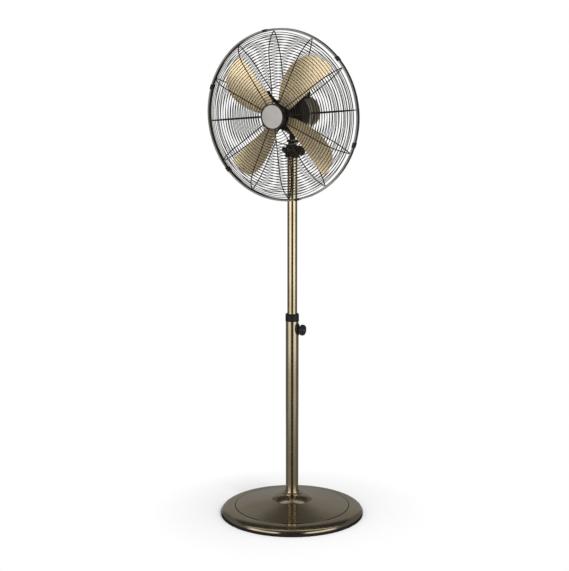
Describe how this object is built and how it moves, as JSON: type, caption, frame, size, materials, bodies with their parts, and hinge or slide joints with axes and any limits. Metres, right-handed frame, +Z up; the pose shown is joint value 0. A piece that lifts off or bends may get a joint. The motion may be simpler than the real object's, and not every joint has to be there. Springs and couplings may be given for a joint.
{
  "type": "pedestal fan",
  "caption": "Pedestal fan with a round weighted base, telescopic pole, tilting and oscillating motor head, twisted metal blades and a wire guard.",
  "frame": {"origin": "on the floor under the pole axis", "axes": "+Z up along the pole, the fan blows towards -Y, both lock knobs point to +X"},
  "size_m": [0.44, 0.384, 1.3],
  "materials": {
    "antique_brass": "satin antique brass plating",
    "blade_brass": "polished brass plating on sheet aluminium",
    "guard_brass": "antique brass plated steel wire",
    "badge_metal": "satin, bare",
    "black_rubber": "matte",
    "black_plastic": "fine grain",
    "white_nylon": "plain",
    "black_metal": "black powder coat",
    "steel": "zinc plated",
    "iron": "plain",
    "copper": "enamelled wire",
    "case_plastic": "plain"
  },
  "bodies": {
    "base": {"base_cover": "antique_brass", "base_edge": "black_rubber", "base_plate": "black_metal", "base_weight": "iron", "base_spacer": "steel", "tie_bolt": "steel", "foot_ring": "antique_brass", "lower_tube": "antique_brass", "foot_plug": "steel", "pole_collar": "black_plastic", "lock_boss": "black_plastic"},
    "height_lock": {"lock_knob": "black_plastic", "lock_screw": "steel"},
    "mast": {"upper_tube": "antique_brass", "mast_guide": "black_plastic", "tilt_socket": "black_metal", "socket_screw": "steel", "tilt_bolt": "steel", "tilt_washers": "white_nylon"},
    "tilt_lock": {"tilt_knob": "black_plastic"},
    "neck": {"neck": "black_metal", "pivot_pin": "steel", "thrust_washer": "white_nylon", "anchor_pin": "steel"},
    "head": {"motor_yoke": "black_metal", "motor_bell": "black_metal", "motor_shell": "antique_brass", "rear_plate": "steel", "bearings": "steel", "stator_core": "iron", "stator_coils": "copper", "capacitor": "case_plastic", "speed_switch": "case_plastic", "cord_gland": "black_rubber", "guard_bracket": "black_metal", "guard_screws": "steel", "rear_guard_hub": "guard_brass", "rear_guard_ribs": "guard_brass", "rear_guard_rings": "guard_brass", "front_guard_ribs": "guard_brass", "front_guard_rings": "guard_brass", "front_guard_hub": "guard_brass", "badge": "badge_metal", "guard_hoop": "guard_brass", "guard_clips": "black_plastic", "gear_frame": "steel"},
    "rotor": {"rotor_shaft": "steel", "rotor_core": "iron", "blade_hub": "black_metal", "blades": "blade_brass", "rivets": "steel", "shaft_nut": "black_plastic"},
    "wheel": {"worm_wheel": "white_nylon"},
    "clutch": {"clutch_shaft": "steel"},
    "crank": {"crank": "steel", "crank_gear": "white_nylon"},
    "link": {"link": "steel"},
    "oscillation_knob": {"oscillation_knob": "black_plastic"},
    "speed_knob": {"speed_knob": "black_plastic"}
  },
  "joints": [
    {"name": "height_lock_turn", "type": "hinge", "parent": "base", "child": "height_lock", "pos_m": [0.028, 0, 0.511], "axis": [1, 0, 0], "range_deg": [0, 360]},
    {"name": "height_slide", "type": "slide", "parent": "base", "child": "mast", "axis": [0, 0, 1], "range_m": [-0.27, 0]},
    {"name": "tilt_lock_turn", "type": "hinge", "parent": "mast", "child": "tilt_lock", "pos_m": [0.02, 0, 0.986], "axis": [1, 0, 0], "range_deg": [0, 360]},
    {"name": "tilt", "type": "hinge", "parent": "mast", "child": "neck", "pos_m": [0, 0, 0.986], "axis": [-1, 0, 0], "range_deg": [-8, 25]},
    {"name": "oscillation", "type": "hinge", "parent": "neck", "child": "head", "pos_m": [0, 0, 1.02], "axis": [0, 0, 1], "range_deg": [-40, 40]},
    {"name": "spin", "type": "hinge", "parent": "head", "child": "rotor", "pos_m": [0, 0, 1.08], "axis": [0, 1, 0], "continuous": true},
    {"name": "wheel_spin", "type": "hinge", "parent": "head", "child": "wheel", "pos_m": [0.017, 0.0545, 1.08], "axis": [0, 0, 1], "continuous": true},
    {"name": "clutch_turn", "type": "hinge", "parent": "head", "child": "clutch", "pos_m": [0.017, 0.0545, 1.06], "axis": [0, 0, 1], "range_deg": [-150, 150]},
    {"name": "crank_turn", "type": "hinge", "parent": "head", "child": "crank", "pos_m": [0.0052, 0.05069, 1.04], "axis": [0, 0, 1], "range_deg": [-62, 62]},
    {"name": "link_turn", "type": "hinge", "parent": "crank", "child": "link", "pos_m": [0.0171, 0.05069, 1.021], "axis": [0, 0, 1], "range_deg": [-62, 62]},
    {"name": "oscillation_press", "type": "slide", "parent": "head", "child": "oscillation_knob", "axis": [0, 0, 1], "range_m": [-0.006, 0]},
    {"name": "speed_turn", "type": "hinge", "parent": "head", "child": "speed_knob", "pos_m": [0, 0.1, 1.08], "axis": [0, 1, 0], "range_deg": [0, 135]}
  ],
  "couplings": [
    {"joint": "wheel_spin", "follows": "spin", "ratio": 0.033333},
    {"joint": "clutch_turn", "follows": "oscillation", "ratio": 3.6667},
    {"joint": "crank_turn", "follows": "oscillation", "ratio": -1.5},
    {"joint": "link_turn", "follows": "oscillation", "ratio": 1.5}
  ]
}
